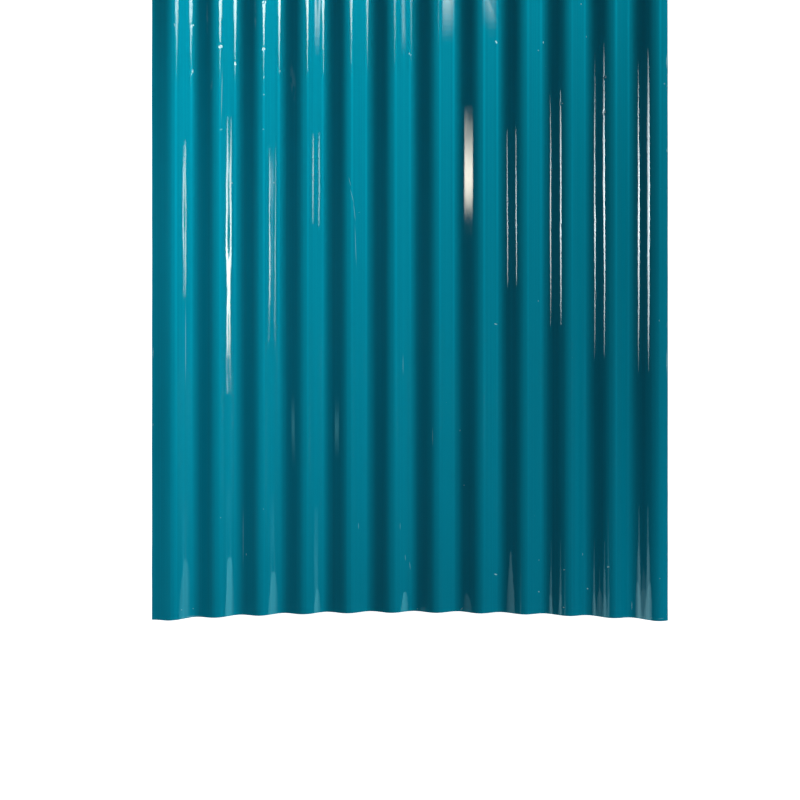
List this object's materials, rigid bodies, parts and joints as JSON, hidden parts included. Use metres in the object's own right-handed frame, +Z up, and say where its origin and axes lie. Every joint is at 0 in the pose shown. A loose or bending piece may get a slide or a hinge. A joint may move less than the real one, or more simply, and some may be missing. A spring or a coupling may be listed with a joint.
{
  "type": "corrugated metal sheet",
  "caption": "Coil-coated corrugated steel sheet with a sine-wave section, for roof and wall cladding, lying flat with its coloured face up.",
  "frame": {"origin": "under the middle of the sheet, on the level that its valleys rest on", "axes": "+Y along the waves, +X across them, +Z up out of the coloured face"},
  "size_m": [0.8961, 2, 0.0185],
  "materials": {
    "coated_steel": "glossy teal coil coating on the upper face, thin green-grey backing coat on the underside, bare zinc-coated steel at the cut ends and slit edges"
  },
  "bodies": {
    "root": {"corrugated_sheet": "coated_steel"}
  },
  "joints": []
}
